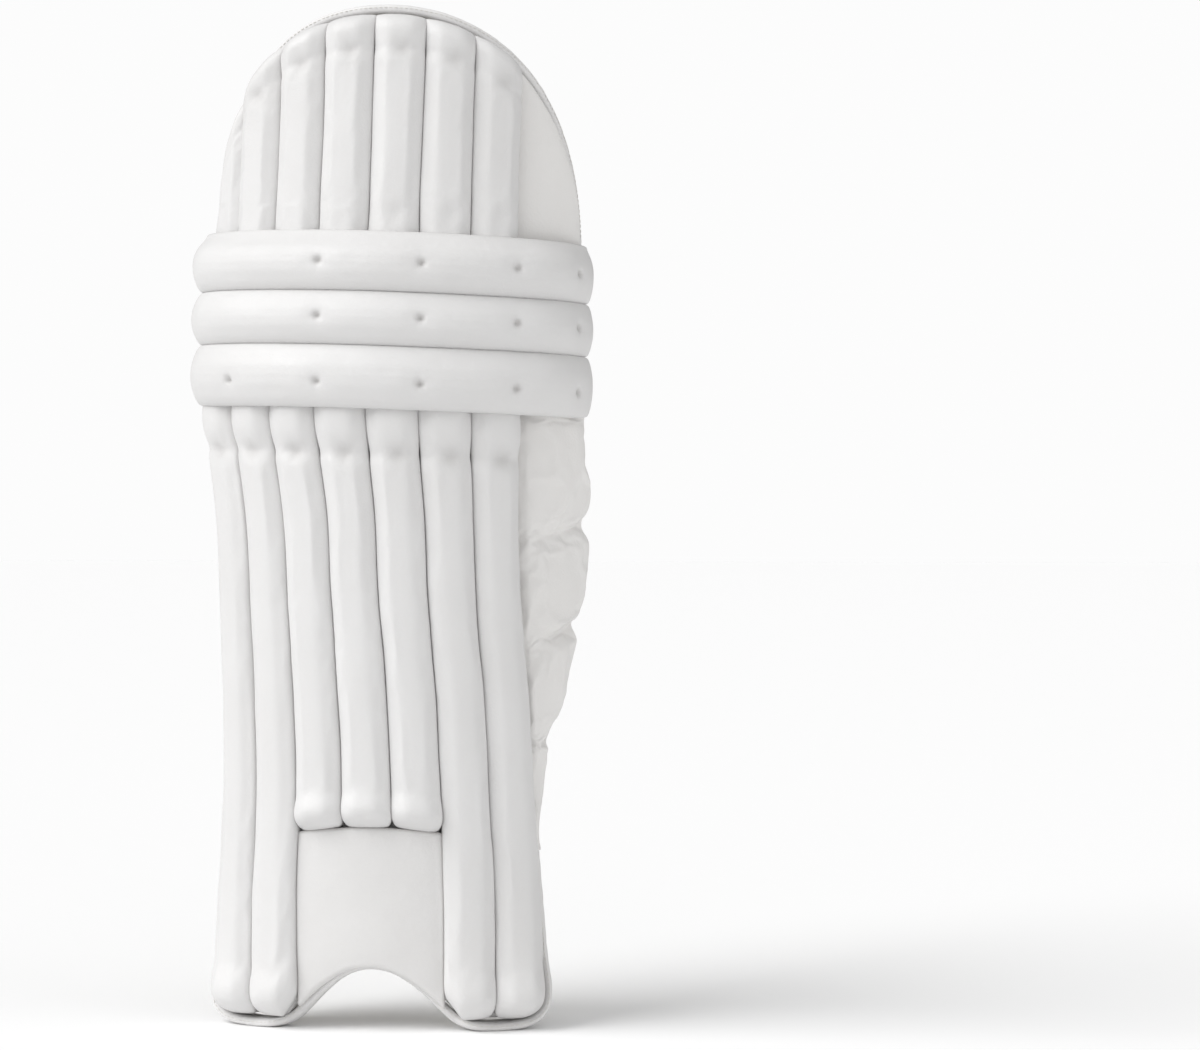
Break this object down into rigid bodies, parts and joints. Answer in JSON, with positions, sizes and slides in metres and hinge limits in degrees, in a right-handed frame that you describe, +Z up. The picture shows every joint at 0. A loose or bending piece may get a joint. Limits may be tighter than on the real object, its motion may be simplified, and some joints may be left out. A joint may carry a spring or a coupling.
{
  "type": "batting pad",
  "caption": "Curved leg guard with upright padded ribs, knee rolls across the knee, a domed top hat, a quilted side wing, bound edges and straps behind.",
  "frame": {"origin": "on the floor under the middle of the pad's bounding box", "axes": "+Z up along the shin, -Y the way the ribs face, +X towards the side wing"},
  "size_m": [0.2834, 0.208, 0.717],
  "materials": {
    "facing": "white coated synthetic leather over foam, satin with a fine grain",
    "soft_panel": "white coated synthetic leather over soft foam, satin",
    "lining": "off-white woven cotton, matt",
    "tape": "white folded edge tape, satin",
    "webbing": "white hook-and-loop strap, matt"
  },
  "bodies": {
    "root": {"shin_backing": "lining", "top_hat_backing": "lining", "shin_binding": "tape", "top_hat_binding": "tape", "shin_rib_1": "facing", "shin_rib_2": "facing", "shin_rib_3": "facing", "shin_rib_4": "facing", "shin_rib_5": "facing", "shin_rib_6": "facing", "shin_rib_7": "facing", "top_hat_rib_1": "facing", "top_hat_rib_2": "facing", "top_hat_rib_3": "facing", "top_hat_rib_4": "facing", "top_hat_rib_5": "facing", "top_hat_rib_6": "facing", "top_hat_rib_7": "facing", "knee_roll_lower": "facing", "knee_roll_middle": "facing", "knee_roll_upper": "facing", "instep_panel": "soft_panel", "side_wing": "soft_panel", "top_hat_side_panel": "soft_panel", "strap_knee": "webbing", "strap_calf": "webbing", "strap_ankle": "webbing"}
  },
  "joints": []
}
